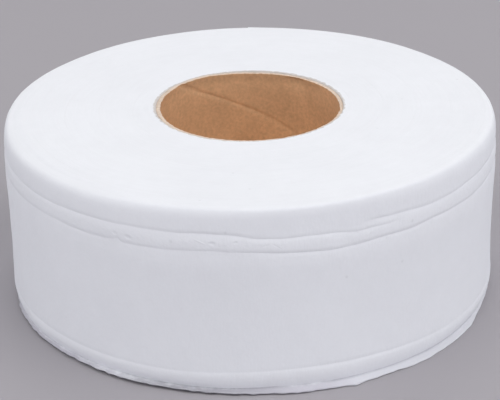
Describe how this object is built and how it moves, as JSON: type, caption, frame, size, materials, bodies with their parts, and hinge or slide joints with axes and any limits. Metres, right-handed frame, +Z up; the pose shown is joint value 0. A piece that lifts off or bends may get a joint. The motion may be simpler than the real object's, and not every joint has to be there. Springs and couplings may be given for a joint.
{
  "type": "toilet paper roll",
  "caption": "Large white toilet paper roll wound on a spiral-wound paperboard core, standing on its end, with soft rims and shallow crimp creases round its side.",
  "frame": {"origin": "middle of the end that the roll stands on, on the axis of the core", "axes": "+Z up along the core's axis; the free edge of the last sheet is at +Y, and the picture looks along +Y from -Y"},
  "size_m": [0.2308, 0.231, 0.084],
  "materials": {
    "tissue": "soft matte embossed white tissue",
    "kraft_board": "matte brown kraft board with a spiral seam"
  },
  "bodies": {
    "root": {"tissue_roll": "tissue", "core_tube": "kraft_board"}
  },
  "joints": []
}
